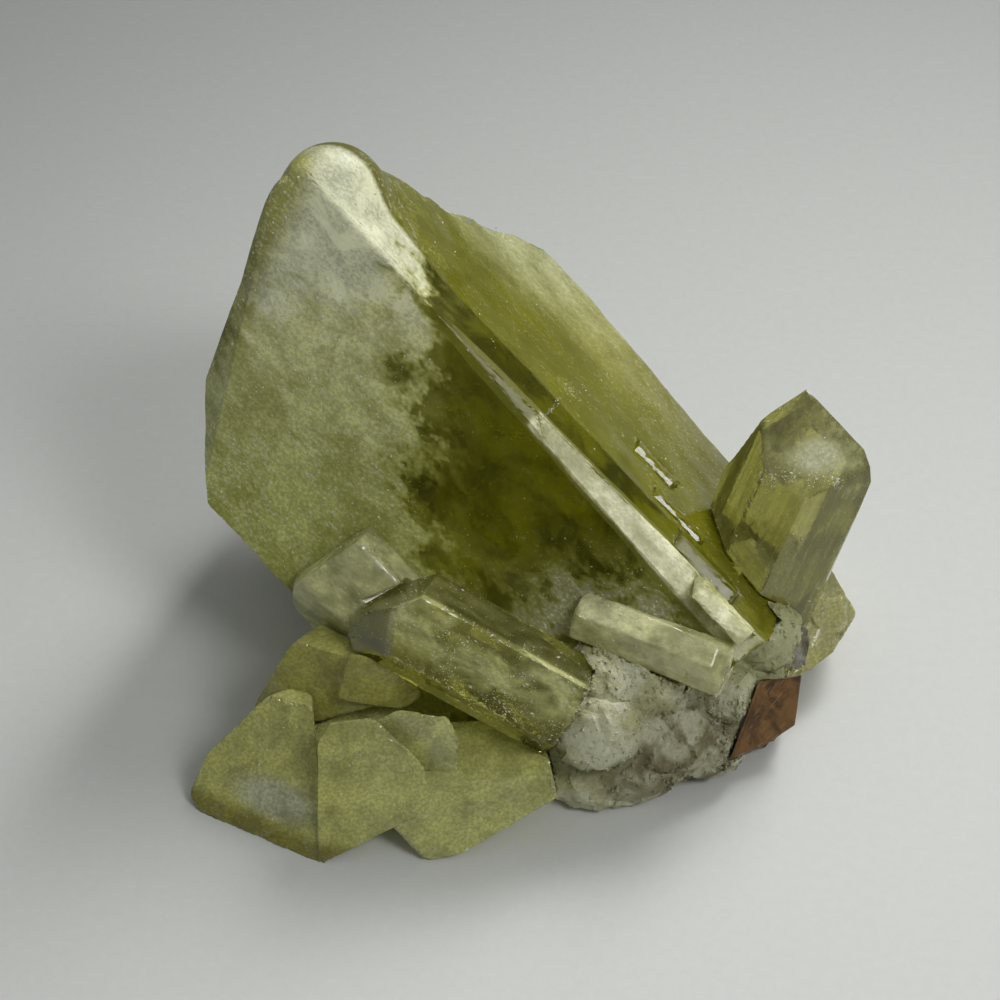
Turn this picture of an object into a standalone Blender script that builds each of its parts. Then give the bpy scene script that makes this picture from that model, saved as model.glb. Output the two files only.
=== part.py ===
"""A cluster of yellow-green brazilianite crystals on its whitish matrix.

One stout prism leans back from the matrix, and smaller prisms stand, lie and
crowd round its foot. Units are metres, +Z is up, and the cluster rests on the
flat broken underside of its matrix at z = 0. Sizes below are in millimetres.

A crystal is a block cut by its faces. Each face is given about the crystal's
long axis: its turn in degrees from the upper side of the axis, its lean
towards the tip in degrees (90 is square across the tip), and its distance
from the crystal's centre.
"""

import math

import bmesh
import bpy
from mathutils import Matrix, Vector, noise

MM = 0.001
GAP = 0.3                      # left between two pieces that only touch
BLOCK = 160.0                  # side of the block that a crystal is cut from
SLICE_REACH = 0.0001           # a point this near to a cut lies on it
COLLECTION = "brazilianite_cluster"
CUTTERS = "cutters"

# The cluster is laid out about its matrix and then moved by this much, so that
# the origin is under the middle of its box.
CENTRE_X = 3.0
CENTRE_Y = 2.475

# Prism faces of the large crystal, shared by the crystals grown parallel to it.
PARALLEL_HEADING = 145.0
PARALLEL_RISE = 33.0
FRONT_TURN = -55.0
NARROW_TURN = -20.0
SHOULDER_TURN = 15.0
RIGHT_TURN = 28.0

MAIN = {
    "centre": (-6.0, 14.0, 22.0),
    "heading": PARALLEL_HEADING,
    "rise": PARALLEL_RISE,
    "faces": [
        (FRONT_TURN, 0.0, 15.8),
        (NARROW_TURN, -1.6, 18.6),
        (SHOULDER_TURN, 0.0, 14.9),
        (RIGHT_TURN, 0.0, 12.9),
        (64.6, -0.7, 18.8),
        (FRONT_TURN + 180.0, 0.0, 12.4),
        (166.0, 0.0, 16.0),
        (RIGHT_TURN - 180.0, 0.0, 18.2),
        (-164.0, 68.1, 17.8),
        (-144.5, 41.6, 20.2),
        (-140.0, 5.3, 22.4),
        (-77.5, 33.4, 23.2),
        (66.8, 33.2, 17.3),
        (59.5, -4.1, 18.5),
        (63.5, 58.4, 21.5),
        (-167.1, -74.1, 33.1),
    ],
}
# The front edge is broken off deeper towards the root, in a narrow even strip.
EDGE_STRIP = {
    "centre": MAIN["centre"],
    "heading": PARALLEL_HEADING,
    "rise": PARALLEL_RISE,
    "faces": [
        (NARROW_TURN + 180.0, 1.12, -18.37),
        (NARROW_TURN - 90.0, 35.0, -4.6),
    ],
}
# Low ridges on the right face, each with a side parallel to the narrow face.
LEDGES = [
    {"centre": (15.0, 2.0, 22.4), "half": 2.6},
    {"centre": (16.9, -4.1, 21.5), "half": 3.2},
    {"centre": (19.6, -9.1, 19.9), "half": 3.8},
    {"centre": (21.0, -14.0, 19.3), "half": 3.2},
]
LEDGE_HEIGHT = 0.45            # and the shares of it that the ridge's other faces are out
LEDGE_NEAR = 0.7
LEDGE_FAR = 2.5
LEDGE_FAR_TURN = 42.0
LEDGE_ROOT = 2.0
LEDGE_END_LEANS = (75.0, -78.0)
# The frosted knob that the broken tip ends in.
TIP_KNOB = {"centre": (-15.8, 16.8, 44.4), "radii": (5.0, 5.3, 5.2), "rough": 0.4, "fine": 3}
# Where pieces have broken off the right side of the tip.
TIP_CHIPS = [
    {"centre": (-5.9, 25.3, 41.5), "radii": (4.0, 4.0, 4.0), "rough": 0.4, "fine": 2},
    {"centre": (-3.1, 26.4, 38.6), "radii": (4.5, 4.5, 4.5), "rough": 0.4, "fine": 2},
    {"centre": (1.0, 28.4, 35.7), "radii": (5.0, 5.0, 5.0), "rough": 0.4, "fine": 2},
]

STANDING = {
    "centre": (27.9, 0.6, 18.0),
    "heading": 45.0,
    "rise": 60.0,
    "faces": [
        (-81.4, -5.0, 6.3),
        (-30.0, 0.0, 6.2),
        (15.0, 0.0, 6.6),
        (62.0, 0.0, 6.4),
        (107.0, 0.0, 6.9),
        (135.0, 3.9, 5.4),
        (180.0, 0.0, 6.0),
        (-125.0, 0.0, 6.3),
        (-90.0, 17.3, 6.1),
        (168.0, 45.7, 7.4),
        (145.0, 29.2, 7.0),
        (20.0, 38.0, 7.9),
        (0.0, -90.0, 14.0),
    ],
}

LYING = {
    "centre": (-1.9, -15.0, 16.1),
    "heading": 163.0,
    "rise": 25.0,
    "faces": [
        (25.0, 0.0, 3.1),
        (-60.0, 0.0, 4.5),
        (-115.0, 0.0, 5.7),
        (155.0, 0.0, 4.0),
        (85.0, 0.0, 3.6),
        (-82.0, 44.1, 8.9),
        (36.0, 54.7, 7.3),
        (0.0, 90.0, 11.0),
        (0.0, -90.0, 10.5),
    ],
}

CORNER = {
    "centre": (-16.0, -7.3, 15.0),
    "heading": PARALLEL_HEADING,
    "rise": PARALLEL_RISE,
    "faces": [
        (FRONT_TURN, 0.0, 3.3),
        (NARROW_TURN, 0.0, 6.6),
        (RIGHT_TURN, 0.0, 7.1),
        (-95.0, 0.0, 2.8),
        (-140.0, 0.0, 4.5),
        (125.0, 0.0, 4.0),
        (-120.0, 50.0, 4.0),
        (0.0, 80.0, 3.2),
        (-120.0, -45.0, 6.0),
        (0.0, -90.0, 6.0),
    ],
}

HALF_BURIED = {
    "centre": (15.3, -15.4, 15.4),
    "heading": 335.0,
    "rise": -5.0,
    "faces": [
        (-30.0, 0.0, 2.6),
        (25.0, 0.0, 1.6),
        (75.0, 0.0, 1.3),
        (130.0, 0.0, 2.2),
        (-90.0, 0.0, 3.4),
        (180.0, 0.0, 3.0),
        (20.0, 50.0, 5.0),
        (-60.0, 45.0, 6.4),
        (0.0, 90.0, 6.4),
        (0.0, -90.0, 9.0),
    ],
}

# The dull wedge and the pale block that has grown into its side.
WEDGE = {
    "centre": (-18.2, -15.7, 10.0),
    "heading": 200.0,
    "rise": 20.0,
    "faces": [
        (-69.6, 49.7, 0.5),
        (-71.4, 63.4, 1.3),
        (84.6, 31.5, 3.85),
        (149.6, 52.7, 6.85),
        (-137.0, -23.7, 3.1),
        (78.2, -29.2, 9.0),
        (-54.6, -57.9, 8.0),
        (11.0, 15.8, 4.5),
        (-163.9, -13.6, 3.7),
    ],
}
PALE_BLOCK = {
    "centre": (-10.9, -16.6, 11.0),
    "heading": 250.0,
    "rise": 35.0,
    "faces": [
        (-125.5, 76.5, 2.5),
        (86.6, 2.0, 3.65),
        (11.1, -28.7, 1.95),
        (-179.0, 1.8, 1.3),
        (-113.2, 33.2, 2.0),
        (-79.1, -29.3, 3.4),
        (-137.8, -13.6, 2.65),
        (32.4, -50.3, 6.6),
    ],
}

# The five blunt crystals of the foot, grown into each other.
FOOT_LEFT = {
    "centre": (-22.0, -21.9, 4.0),
    "heading": 200.0,
    "rise": 15.0,
    "faces": [
        (-51.5, 46.0, 0.9),
        (-60.5, 47.4, 1.3),
        (75.8, 20.3, 5.7),
        (90.0, 37.7, 6.6),
        (167.0, 54.7, 8.2),
        (-44.5, -69.4, 4.7),
        (73.3, -15.9, 13.2),
        (15.9, 8.8, 8.0),
    ],
}
FOOT_BLOCK = {
    "centre": (-11.8, -24.0, 6.0),
    "heading": 270.0,
    "rise": 30.0,
    "faces": [
        (111.6, 87.3, 1.5),
        (52.2, -29.2, 5.7),
        (5.7, -44.7, 4.1),
        (-45.2, -36.8, 3.15),
        (-75.3, -27.5, 3.75),
        (-151.0, 4.3, 4.2),
        (89.0, -15.5, 4.8),
        (0.0, -60.0, 10.0),
    ],
}
FOOT_BACK_BLOCK = {
    "centre": (-7.1, -21.4, 8.0),
    "heading": 270.0,
    "rise": 30.0,
    "faces": [
        (154.1, 76.0, 1.3),
        (22.6, -36.3, 3.0),
        (-11.0, -40.1, 1.9),
        (-60.4, -30.1, 2.25),
        (-86.9, -20.0, 2.45),
        (100.0, -10.0, 5.0),
        (0.0, -60.0, 9.4),
    ],
}
FOOT_RIGHT = {
    "centre": (-3.3, -26.5, 3.0),
    "heading": 290.0,
    "rise": 10.0,
    "faces": [
        (32.9, 66.5, 0.2),
        (123.9, 0.0, 5.1),
        (179.9, 29.6, 2.65),
        (-157.0, 30.9, 2.5),
        (-160.7, 31.0, 2.3),
        (-36.7, -56.8, 10.1),
        (0.0, 10.0, 4.0),
        (-85.9, 9.5, 9.0),
        (86.4, -19.7, 7.0),
    ],
}
FOOT_INNER = {
    "centre": (-15.0, -18.5, 3.5),
    "heading": 270.0,
    "rise": 0.0,
    "faces": [
        (0.0, 76.0, 3.6),
        (4.0, 9.0, 3.7),
        (48.0, 3.0, 4.3),
        (90.0, 6.0, 4.6),
        (-52.0, 4.0, 5.0),
        (-90.0, -4.0, 5.8),
        (180.0, 0.0, 4.5),
        (0.0, -80.0, 5.4),
    ],
}

SIDE_CRYSTAL = {
    "centre": (33.7, -3.4, 6.0),
    "heading": 20.0,
    "rise": 25.0,
    "faces": [
        (48.0, 25.9, 0.6),
        (-133.4, 71.5, 2.55),
        (139.9, 23.7, 1.45),
        (138.0, -0.4, 2.3),
        (-98.7, 30.7, 5.8),
        (-40.7, -58.4, 5.7),
    ],
}

# A book of brown mica leaves, and the leaves that fray out below it.
MICA_BOOK = {
    "centre": (26.6, -14.7, 5.5),
    "heading": 300.0,
    "rise": 20.0,
    "faces": [
        (37.6, 78.1, 0.0),
        (-18.6, -40.5, 2.8),
        (-108.7, 26.3, 2.4),
        (-167.1, 29.1, 2.4),
        (178.4, 24.5, 2.8),
        (59.1, -53.0, 2.0),
        (0.0, -80.0, 6.0),
    ],
}
LEAF_JOINT = (18.8, -17.2, 0.9)
LEAF_HEADING = 17.5
LEAF_THICKNESS = 0.35
LEAVES = [
    {"rise": 1.0, "length": 5.6, "width": 4.6},
    {"rise": 7.0, "length": 6.8, "width": 4.3},
    {"rise": 13.0, "length": 6.4, "width": 4.0},
]

MATRIX_LUMPS = [
    {"centre": (18.5, -5.0, 5.0), "radii": (10.5, 12.0, 8.0), "rough": 1.2, "fine": 3},
    {"centre": (25.0, 4.0, 5.0), "radii": (8.0, 9.0, 7.0), "rough": 1.0, "fine": 3},
    {"centre": (14.0, 9.0, 3.5), "radii": (13.0, 9.0, 6.0), "rough": 1.0, "fine": 3},
    {"centre": (8.0, -15.5, 4.5), "radii": (7.0, 5.5, 5.0), "rough": 0.5, "fine": 2},
    {"centre": (8.5, -19.5, 2.2), "radii": (5.5, 3.8, 2.8), "rough": 0.5, "fine": 2},
    {"centre": (13.0, -14.5, 9.5), "radii": (6.5, 4.5, 5.5), "rough": 0.6, "fine": 2},
    {"centre": (25.3, -8.8, 10.5), "radii": (4.2, 4.0, 4.4), "rough": 0.4, "fine": 2},
    {"centre": (18.5, -15.3, 3.2), "radii": (6.8, 5.2, 4.4), "rough": 0.7, "fine": 2},
    {"centre": (22.0, -13.8, 7.0), "radii": (3.6, 3.4, 4.0), "rough": 0.4, "fine": 2},
    {"centre": (10.8, -17.4, 6.2), "radii": (6.2, 4.3, 4.6), "rough": 0.6, "fine": 2},
    {"centre": (15.6, -17.6, 5.6), "radii": (5.4, 4.2, 4.0), "rough": 0.6, "fine": 2},
    {"centre": (12.4, -19.4, 2.6), "radii": (5.6, 3.6, 3.6), "rough": 0.5, "fine": 2},
    {"centre": (9.3, -19.8, 8.8), "radii": (4.8, 3.5, 4.4), "rough": 0.5, "fine": 2},
    {"centre": (9.8, -15.6, 11.6), "radii": (3.8, 4.0, 3.4), "rough": 0.4, "fine": 2},
]
BOOK_CLEARANCE = 6.0           # the matrix is broken away this far in front of the book
# The matrix shares one slow noise, so that neighbouring lumps swell together.
SWELL_SLOW = 4.0
SWELL_QUICK = 1.9
QUICK_SHARE = 0.5


def axes_of(crystal):
    """The crystal's long axis, its upper side and the side across both."""
    heading = math.radians(crystal["heading"])
    rise = math.radians(crystal["rise"])
    level = Vector((math.cos(heading), math.sin(heading), 0.0))
    along = level * math.cos(rise) + Vector((0.0, 0.0, math.sin(rise)))
    upper = (Vector((0.0, 0.0, 1.0)) - along * along.z).normalized()
    return along, upper, along.cross(upper)


def face_normal(crystal, turn, lean):
    along, upper, across = axes_of(crystal)
    turn = math.radians(turn)
    lean = math.radians(lean)
    around = upper * math.cos(turn) + across * math.sin(turn)
    return around * math.cos(lean) + along * math.sin(lean)


def slice_off(mesh, point, normal):
    """Cuts away everything past a plane and closes the cut with a flat face."""
    geometry = mesh.verts[:] + mesh.edges[:] + mesh.faces[:]
    cut = bmesh.ops.bisect_plane(
        mesh, geom=geometry, dist=SLICE_REACH, plane_co=point, plane_no=normal, clear_outer=True
    )
    rim = [part for part in cut["geom_cut"] if isinstance(part, bmesh.types.BMEdge)]
    if rim:
        bmesh.ops.contextual_create(mesh, geom=rim)


def cut_crystal(crystal, grow=0.0):
    """A block cut down to the crystal's faces, each moved outwards by grow."""
    mesh = bmesh.new()
    bmesh.ops.create_cube(mesh, size=BLOCK)
    centre = Vector(crystal["centre"])
    bmesh.ops.translate(mesh, verts=mesh.verts, vec=centre)
    for turn, lean, distance in crystal["faces"]:
        normal = face_normal(crystal, turn, lean)
        slice_off(mesh, centre + normal * (distance + grow), normal)
    return mesh


def ledge_crystal(ledge):
    """A low ridge along the right face, as a small crystal grown parallel to the large one."""
    half = ledge["half"]
    return {
        "centre": ledge["centre"],
        "heading": PARALLEL_HEADING,
        "rise": PARALLEL_RISE,
        "faces": [
            (RIGHT_TURN, 0.0, LEDGE_HEIGHT),
            (NARROW_TURN, 0.0, LEDGE_NEAR * LEDGE_HEIGHT),
            (RIGHT_TURN + LEDGE_FAR_TURN, 0.0, LEDGE_FAR * LEDGE_HEIGHT),
            (RIGHT_TURN + 180.0, 0.0, LEDGE_ROOT * LEDGE_HEIGHT),
            (NARROW_TURN, LEDGE_END_LEANS[0], half),
            (NARROW_TURN, LEDGE_END_LEANS[1], half),
        ],
    }


def rough_lump(lump, grow=0.0):
    """A ball drawn out to the lump's radii and pushed in and out by smooth noise."""
    mesh = bmesh.new()
    bmesh.ops.create_icosphere(mesh, subdivisions=lump["fine"], radius=1.0)
    centre = Vector(lump["centre"])
    for vert in mesh.verts:
        way = vert.co.normalized()
        place = centre + Vector([way[axis] * lump["radii"][axis] for axis in range(3)])
        swell = noise.noise(place / SWELL_SLOW)
        swell += QUICK_SHARE * noise.noise(place / SWELL_QUICK)
        vert.co = place + way * (lump["rough"] * swell + grow)
    return mesh


def mica_leaf(leaf, grow=0.0):
    """One thin leaf, fanned up by its rise about the edge where it enters the matrix."""
    mesh = bmesh.new()
    bmesh.ops.create_cube(mesh, size=1.0)
    size = Vector((leaf["length"], leaf["width"], LEAF_THICKNESS))
    bmesh.ops.scale(mesh, verts=mesh.verts, vec=size + Vector((2.0, 2.0, 2.0)) * grow)
    bmesh.ops.translate(mesh, verts=mesh.verts, vec=Vector((0.5 * leaf["length"], 0.0, 0.0)))
    lift = Matrix.Rotation(math.radians(-leaf["rise"]), 4, "Y")
    turn = Matrix.Rotation(math.radians(LEAF_HEADING), 4, "Z")
    place = Matrix.Translation(Vector(LEAF_JOINT)) @ turn @ lift
    bmesh.ops.transform(mesh, matrix=place, verts=mesh.verts)
    return mesh


def forward_of(crystal, reach):
    """The same crystal with its first face, which looks outwards, moved out by reach."""
    turn, lean, distance = crystal["faces"][0]
    moved = [(turn, lean, distance + reach)] + crystal["faces"][1:]
    return {**crystal, "faces": moved}


def ground_block():
    """Everything below the surface the cluster rests on."""
    mesh = bmesh.new()
    bmesh.ops.create_cube(mesh, size=BLOCK)
    bmesh.ops.translate(mesh, verts=mesh.verts, vec=Vector((0.0, 0.0, -0.5 * BLOCK)))
    return mesh


class Cluster:
    """The pieces so far, and the helpers that join and cut them."""

    def __init__(self):
        self.parts = bpy.data.collections.new(COLLECTION)
        self.cutters = bpy.data.collections.new(CUTTERS)
        bpy.context.scene.collection.children.link(self.parts)
        bpy.context.scene.collection.children.link(self.cutters)
        self.helpers = 0

    def add(self, name, mesh, collection):
        """Makes an object of a mesh in millimetres, in its place in the cluster."""
        bmesh.ops.translate(mesh, verts=mesh.verts, vec=Vector((-CENTRE_X, -CENTRE_Y, 0.0)))
        bmesh.ops.scale(mesh, verts=mesh.verts, vec=Vector((MM, MM, MM)))
        bmesh.ops.recalc_face_normals(mesh, faces=mesh.faces)
        data = bpy.data.meshes.new(name)
        mesh.to_mesh(data)
        mesh.free()
        made = bpy.data.objects.new(name, data)
        collection.objects.link(made)
        return made

    def piece(self, name, mesh, material):
        made = self.add(name, mesh, self.parts)
        made.data.materials.append(material)
        return made

    def change(self, piece, mesh, operation):
        """Joins a mesh to the piece or cuts it away."""
        self.helpers += 1
        helper = self.add("helper_%02d" % self.helpers, mesh, self.cutters)
        helper.hide_render = True
        helper.display_type = "WIRE"
        step = piece.modifiers.new(helper.name, "BOOLEAN")
        step.operation = operation
        step.solver = "EXACT"
        step.object = helper

    def join(self, piece, mesh):
        self.change(piece, mesh, "UNION")

    def cut(self, piece, mesh):
        self.change(piece, mesh, "DIFFERENCE")

    def make_room(self, piece, *crystals):
        """Cuts the piece back to a hair's gap from crystals that grew before it."""
        for crystal in crystals:
            self.cut(piece, cut_crystal(crystal, GAP))

    def level(self, *pieces):
        """Breaks the pieces off flat at the surface they rest on."""
        for piece in pieces:
            self.cut(piece, ground_block())


def finish(name, colour, roughness, metallic=0.0):
    material = bpy.data.materials.new(name)
    material.use_nodes = True
    shader = material.node_tree.nodes["Principled BSDF"]
    shader.inputs["Base Color"].default_value = (*colour, 1.0)
    shader.inputs["Roughness"].default_value = roughness
    shader.inputs["Metallic"].default_value = metallic
    return material


def main():
    for old in list(bpy.data.objects):
        bpy.data.objects.remove(old, do_unlink=True)
    cluster = Cluster()
    clear = finish("clear_crystal", (0.25, 0.26, 0.06), 0.1)
    frosted = finish("frosted_crystal", (0.30, 0.31, 0.13), 0.4)
    rock = finish("matrix", (0.42, 0.41, 0.33), 0.7)
    mica = finish("mica", (0.16, 0.09, 0.05), 0.3)

    body = cluster.piece("main_crystal", cut_crystal(MAIN), clear)
    cluster.cut(body, cut_crystal(EDGE_STRIP))
    for ledge in LEDGES:
        cluster.join(body, cut_crystal(ledge_crystal(ledge)))
    cluster.join(body, rough_lump(TIP_KNOB))
    for chip in TIP_CHIPS:
        cluster.cut(body, rough_lump(chip))

    standing = cluster.piece("standing_crystal", cut_crystal(STANDING), clear)
    cluster.make_room(standing, MAIN)

    lying = cluster.piece("lying_crystal", cut_crystal(LYING), clear)
    cluster.make_room(lying, MAIN)

    corner = cluster.piece("corner_crystal", cut_crystal(CORNER), clear)
    cluster.make_room(corner, MAIN, LYING)

    buried = cluster.piece("half_buried_crystal", cut_crystal(HALF_BURIED), clear)
    cluster.make_room(buried, MAIN)

    wedge = cluster.piece("wedge_crystal", cut_crystal(WEDGE), frosted)
    cluster.join(wedge, cut_crystal(PALE_BLOCK))
    cluster.make_room(wedge, MAIN, LYING, CORNER)

    foot = cluster.piece("foot_crystals", cut_crystal(FOOT_LEFT), frosted)
    cluster.join(foot, cut_crystal(FOOT_BLOCK))
    cluster.join(foot, cut_crystal(FOOT_BACK_BLOCK))
    cluster.join(foot, cut_crystal(FOOT_RIGHT))
    cluster.join(foot, cut_crystal(FOOT_INNER))
    cluster.make_room(foot, MAIN, LYING, CORNER, WEDGE, PALE_BLOCK)

    side = cluster.piece("side_crystal", cut_crystal(SIDE_CRYSTAL), frosted)
    cluster.make_room(side, MAIN, STANDING)

    book = cluster.piece("mica_book", cut_crystal(MICA_BOOK), mica)
    cluster.make_room(book, SIDE_CRYSTAL)
    leaves = cluster.piece("mica_sheets", mica_leaf(LEAVES[0]), mica)
    for leaf in LEAVES[1:]:
        cluster.join(leaves, mica_leaf(leaf))
    cluster.make_room(leaves, MICA_BOOK)

    stone = cluster.piece("matrix", rough_lump(MATRIX_LUMPS[0]), rock)
    for lump in MATRIX_LUMPS[1:]:
        cluster.join(stone, rough_lump(lump))
    cluster.make_room(
        stone, MAIN, STANDING, LYING, HALF_BURIED, FOOT_BACK_BLOCK, FOOT_RIGHT, SIDE_CRYSTAL,
        forward_of(MICA_BOOK, BOOK_CLEARANCE),
    )
    for leaf in LEAVES:
        cluster.cut(stone, mica_leaf(leaf, GAP))
    cluster.level(body, foot, side, book, stone)


main()
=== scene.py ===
"""Looks of a brazilianite cluster: clear to cloudy yellow-green crystals on whitish matrix.

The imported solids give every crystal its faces. Each piece here is a finer copy of its
solid, worn and etched a little, with its own finish. Lengths are in metres, and in
millimetres where a comment says so.
"""

import math

import bpy
import numpy as np
from mathutils import Euler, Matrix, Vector
from mathutils.bvhtree import BVHTree


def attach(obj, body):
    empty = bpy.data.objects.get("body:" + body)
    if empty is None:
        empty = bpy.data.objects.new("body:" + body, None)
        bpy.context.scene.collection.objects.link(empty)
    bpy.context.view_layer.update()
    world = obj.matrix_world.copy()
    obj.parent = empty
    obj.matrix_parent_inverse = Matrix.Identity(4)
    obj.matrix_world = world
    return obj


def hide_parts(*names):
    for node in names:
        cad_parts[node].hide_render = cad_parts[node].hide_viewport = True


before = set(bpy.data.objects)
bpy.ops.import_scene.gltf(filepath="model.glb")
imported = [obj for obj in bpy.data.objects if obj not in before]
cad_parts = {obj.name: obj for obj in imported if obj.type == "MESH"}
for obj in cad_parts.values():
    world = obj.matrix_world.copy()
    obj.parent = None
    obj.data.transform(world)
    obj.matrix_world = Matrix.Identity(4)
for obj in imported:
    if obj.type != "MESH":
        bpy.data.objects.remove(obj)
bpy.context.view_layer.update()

MM = 0.001                                  # metres

# The matrix. The rough rock that the crystals grew from: whitish, sugary feldspar and quartz
# with tan stains, fused in lumps and blocks. It is broken off flat below, where the whole
# cluster rests, and it holds the root of every crystal.

PRIMES = np.array((73856093, 19349663, 83492791))
FOOT_HEIGHT = 0.02                          # millimetres, below which a point is on the flat cut


def solid_triangles(node):
    """Points in millimetres and corner indices of a node, with its doubled points merged."""
    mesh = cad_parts[node].data
    mesh.calc_loop_triangles()
    points = np.empty(len(mesh.vertices) * 3)
    mesh.vertices.foreach_get("co", points)
    corners = np.empty(len(mesh.loop_triangles) * 3, int)
    mesh.loop_triangles.foreach_get("vertices", corners)
    points = points.reshape(-1, 3) / MM
    kept, first, index = np.unique(
        np.round(points, 4), axis=0, return_index=True, return_inverse=True
    )
    corners = index.reshape(-1)[corners].reshape(-1, 3)
    whole = (corners != np.roll(corners, 1, axis=1)).all(axis=1)
    return points[first], corners[whole]


def halve_edges(points, corners, longest):
    """Puts a point at the middle of each edge over the longest allowed, and cuts each
    triangle through its new points into two, three or four, until no edge is too long."""
    while True:
        sides = np.sort(corners[:, [[0, 1], [1, 2], [2, 0]]], axis=2)
        edges, index = np.unique(sides.reshape(-1, 2), axis=0, return_inverse=True)
        index = index.reshape(-1, 3)
        long = np.linalg.norm(points[edges[:, 0]] - points[edges[:, 1]], axis=1) > longest
        if not long.any():
            return points, corners
        middle = np.full(len(edges), -1)
        middle[long] = len(points) + np.arange(long.sum())
        points = np.vstack([points, points[edges[long]].mean(axis=1)])
        new = middle[index]
        cut = new >= 0
        count = cut.sum(axis=1)
        turn = np.where(count == 2, np.argmin(cut, axis=1) + 1, np.argmax(cut, axis=1))
        turned = (np.arange(3) + turn[:, None]) % 3
        a, b, c = np.take_along_axis(corners, turned, axis=1).T
        p, q, r = np.take_along_axis(new, turned, axis=1).T
        patterns = {
            0: [(a, b, c)],
            1: [(a, p, c), (p, b, c)],
            2: [(p, b, q), (a, p, q), (a, q, c)],
            3: [(a, p, r), (p, b, q), (r, q, c), (p, q, r)],
        }
        corners = np.vstack([
            np.column_stack(triangle)[count == many]
            for many, triangles in patterns.items()
            for triangle in triangles
        ])


def chance(cell, seed):
    """A whole number that looks random, always the same for one lattice cell and seed."""
    mixed = (cell * PRIMES).sum(axis=1) + 7919 * seed
    mixed = (mixed ^ (mixed >> 13)) * 1274126177
    return (mixed ^ (mixed >> 16)) & 0x3FFFFFFF


def swell(points, pitch, seed):
    """Smooth noise from -1 to 1: chance values at the corners of a cubic lattice of that
    pitch in millimetres, blended between them by smooth steps."""
    place = points / pitch + 31.7 * seed
    low = np.floor(place).astype(np.int64)
    ease = place - low
    ease = ease * ease * (3.0 - 2.0 * ease)
    total = np.zeros(len(points))
    for corner in np.ndindex(2, 2, 2):
        value = (chance(low + corner, seed) & 0xFFFF) / 32767.5 - 1.0
        total += value * np.prod(np.where(corner, ease, 1.0 - ease), axis=1)
    return total


def blocky(points, pitch, seed):
    """Relief of broken grains, from about -1 to 1. Each point belongs to the nearest of the
    chance centres of a lattice of that pitch. Each grain has its own level and its own slope,
    so the surface breaks into tilted facets with steps between them."""
    place = points / pitch
    cell = np.floor(place).astype(np.int64)
    nearest = np.full(len(points), np.inf)
    relief = np.zeros(len(points))
    for shift in np.ndindex(3, 3, 3):
        near = cell + shift - 1
        dice = chance(near, seed)
        jitter = np.stack([dice & 0x3FF, (dice >> 10) & 0x3FF, dice >> 20], axis=1) / 1023.0
        way = place - near - jitter
        distance = (way**2).sum(axis=1)
        closer = distance < nearest
        nearest = np.where(closer, distance, nearest)
        slope = np.roll(jitter, 1, axis=1) * 2.0 - 1.0
        level = ((dice >> 5) & 0xFF) / 127.5 - 1.0
        relief = np.where(closer, (way * slope).sum(axis=1) * 1.2 + 0.4 * level, relief)
    return relief


def point_normals(points, corners):
    """The mean of the triangles' area vectors round each point, and how flat the surface
    is there: 1 on a face, less on an edge."""
    a, b, c = points[corners].transpose(1, 0, 2)
    area = np.cross(b - a, c - a)
    total = np.zeros_like(points)
    size = np.zeros(len(points))
    for side in range(3):
        np.add.at(total, corners[:, side], area)
        np.add.at(size, corners[:, side], np.linalg.norm(area, axis=1))
    length = np.linalg.norm(total, axis=1)
    return total / length[:, None], length / size


def put_in(name, points, corners, crease=24.0):
    """Makes an object of points in millimetres, smooth except over edges that bend by more
    degrees than the crease."""
    mesh = bpy.data.meshes.new(name)
    mesh.vertices.add(len(points))
    mesh.vertices.foreach_set("co", (points * MM).ravel())
    mesh.loops.add(corners.size)
    mesh.loops.foreach_set("vertex_index", corners.ravel())
    mesh.polygons.add(len(corners))
    mesh.polygons.foreach_set("loop_start", np.arange(0, corners.size, corners.shape[1]))
    mesh.update(calc_edges=True)
    if crease > 0.0:
        mesh.shade_smooth()
        mesh.set_sharp_from_angle(angle=math.radians(crease))
    made = bpy.data.objects.new(name, mesh)
    bpy.context.scene.collection.objects.link(made)
    return made


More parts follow.
